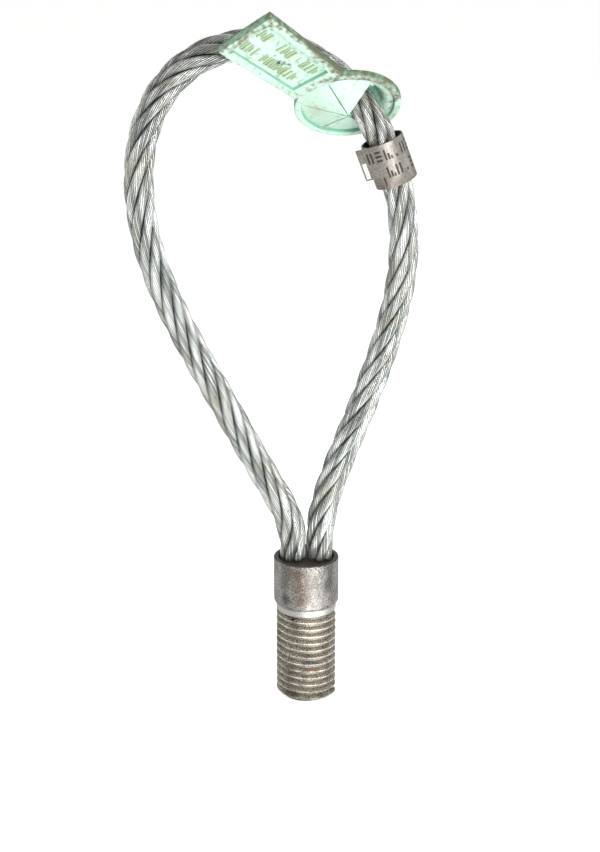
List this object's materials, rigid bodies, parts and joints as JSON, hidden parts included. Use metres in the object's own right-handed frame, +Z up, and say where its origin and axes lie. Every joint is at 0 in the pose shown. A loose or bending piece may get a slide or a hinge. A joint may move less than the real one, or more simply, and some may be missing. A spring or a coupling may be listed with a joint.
{
  "type": "threaded wire rope lifting loop",
  "caption": "Steel wire rope lifting loop with both ends pressed into a threaded ferrule, carrying a loose identification tag and band.",
  "frame": {"origin": "centre of the collar's lower face, where the ferrule seats on the socket it is screwed into", "axes": "+Z up the ferrule's axis towards the loop, -Z along the threaded shank; the loop stands in the XZ plane, and its front, the tag's side, faces -Y"},
  "size_m": [0.0918, 0.0501, 0.2264],
  "materials": {
    "ferrule_steel": "turned and threaded steel, oiled, stained brown",
    "pressed_ends": "dark pressed wire ends",
    "zinc_wire": "galvanised drawn wire",
    "tag_plastic": "moulded mint green plastic, dirty at the edges",
    "band_steel": "rolled sheet, dull"
  },
  "bodies": {
    "loop": {"ferrule": "ferrule_steel", "pressed_rope_ends": "pressed_ends", "core_strand": "zinc_wire", "strand_1": "zinc_wire", "strand_2": "zinc_wire", "strand_3": "zinc_wire", "strand_4": "zinc_wire", "strand_5": "zinc_wire", "strand_6": "zinc_wire"},
    "tag": {"id_tag": "tag_plastic"},
    "band": {"id_band": "band_steel"}
  },
  "joints": [
    {"name": "tag_swivel", "type": "hinge", "parent": "loop", "child": "tag", "pos_m": [0.0171, 0, 0.16357], "axis": [0.5879, 0, -0.8089], "range_deg": [-60, 30]},
    {"name": "band_spin", "type": "hinge", "parent": "loop", "child": "band", "pos_m": [0.0255, 0, 0.1469], "axis": [-0.3564, -0.1045, 0.9285], "continuous": true}
  ]
}
